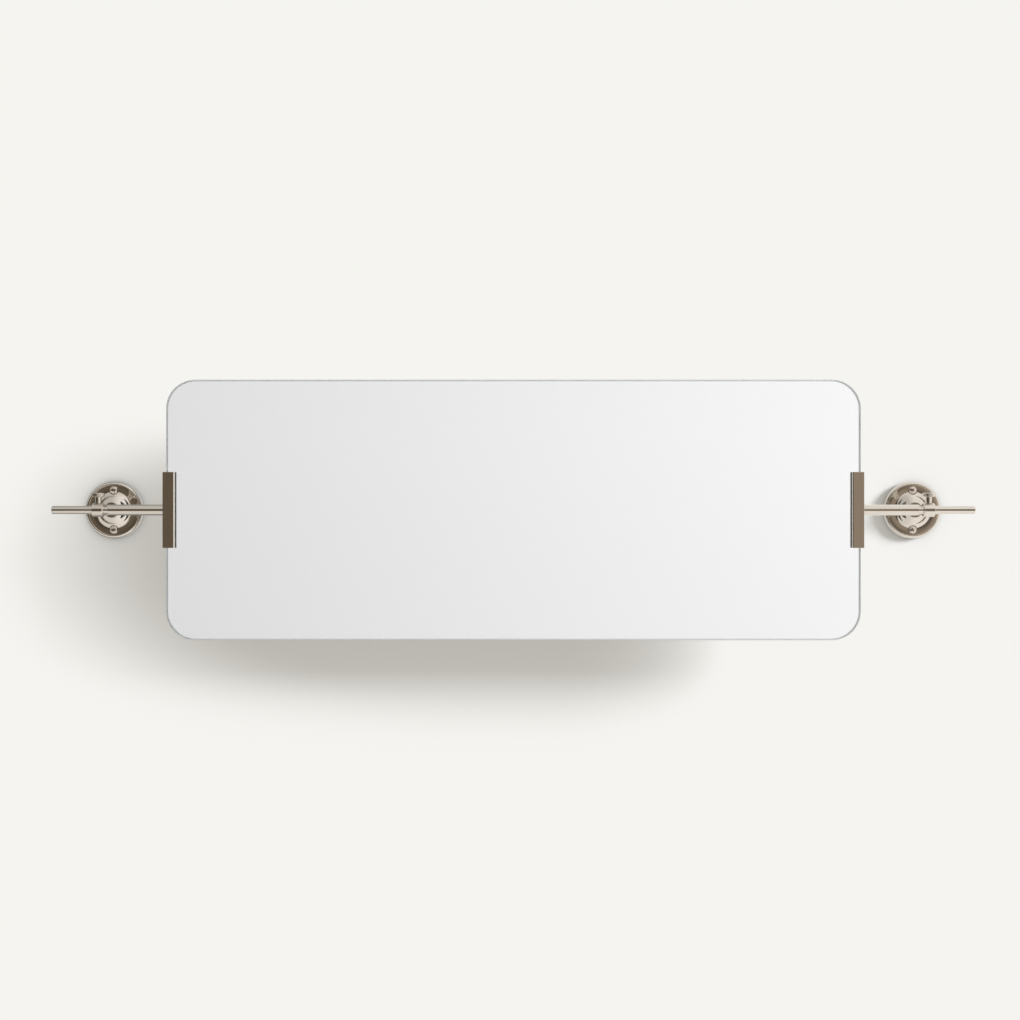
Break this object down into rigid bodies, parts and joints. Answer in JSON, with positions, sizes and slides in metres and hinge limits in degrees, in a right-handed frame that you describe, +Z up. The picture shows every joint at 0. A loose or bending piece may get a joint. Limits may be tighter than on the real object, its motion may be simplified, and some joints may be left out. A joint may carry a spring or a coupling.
{
  "type": "pivot wall mirror",
  "caption": "Frameless rounded rectangular wall mirror that tilts on nickel rods held in clamped collars on round wall plates.",
  "frame": {"origin": "on the wall's face, midway between the two wall plates, at the height of the pivot axis", "axes": "+X to the viewer's right along the pivot axis, +Y into the wall, +Z up"},
  "size_m": [1.0808, 0.1221, 0.3048],
  "materials": {
    "glass": "polished float glass",
    "silver": "mirror silver",
    "backing": "matte black safety film over paint",
    "polished_nickel": "polished nickel",
    "screw_nickel": "nickel-plated steel",
    "plain_steel": "plain zinc-plated steel",
    "liner_rubber": "matte extruded rubber",
    "nylon": "turned nylon"
  },
  "bodies": {
    "wall_mounts": {"left_wall_plate": "polished_nickel", "right_wall_plate": "polished_nickel", "left_wall_screws": "screw_nickel", "right_wall_screws": "screw_nickel", "left_post_screw": "plain_steel", "right_post_screw": "plain_steel", "left_post": "polished_nickel", "right_post": "polished_nickel", "left_collar": "polished_nickel", "right_collar": "polished_nickel"},
    "mirror": {"mirror_glass": "glass", "silver_coat": "silver", "safety_backing": "backing", "left_clip": "polished_nickel", "right_clip": "polished_nickel", "left_clip_liner": "liner_rubber", "right_clip_liner": "liner_rubber", "left_grub_screws": "plain_steel", "right_grub_screws": "plain_steel", "left_pivot_rod": "polished_nickel", "right_pivot_rod": "polished_nickel", "left_sleeve": "polished_nickel", "right_sleeve": "polished_nickel"},
    "left_brake": {"left_brake_plug": "nylon"},
    "right_brake": {"right_brake_plug": "nylon"},
    "left_thumb": {"left_thumb_screw": "polished_nickel"},
    "right_thumb": {"right_thumb_screw": "polished_nickel"}
  },
  "joints": [
    {"name": "mirror_tilt", "type": "hinge", "parent": "wall_mounts", "child": "mirror", "pos_m": [0, -0.0762, 0], "axis": [1, 0, 0], "range_deg": [-28, 28]},
    {"name": "left_brake_lift", "type": "slide", "parent": "wall_mounts", "child": "left_brake", "axis": [0, 0, 1], "range_m": [0, 0.001]},
    {"name": "left_thumb_turn", "type": "hinge", "parent": "left_brake", "child": "left_thumb", "pos_m": [-0.48625, -0.0762, 0], "axis": [0, 0, 1], "range_deg": [0, 360]},
    {"name": "right_brake_lift", "type": "slide", "parent": "wall_mounts", "child": "right_brake", "axis": [0, 0, 1], "range_m": [0, 0.001]},
    {"name": "right_thumb_turn", "type": "hinge", "parent": "right_brake", "child": "right_thumb", "pos_m": [0.48625, -0.0762, 0], "axis": [0, 0, 1], "range_deg": [0, 360]}
  ],
  "couplings": [
    {"joint": "left_brake_lift", "follows": "left_thumb_turn", "m_per_rad": 0.00015915},
    {"joint": "right_brake_lift", "follows": "right_thumb_turn", "m_per_rad": 0.00015915}
  ]
}
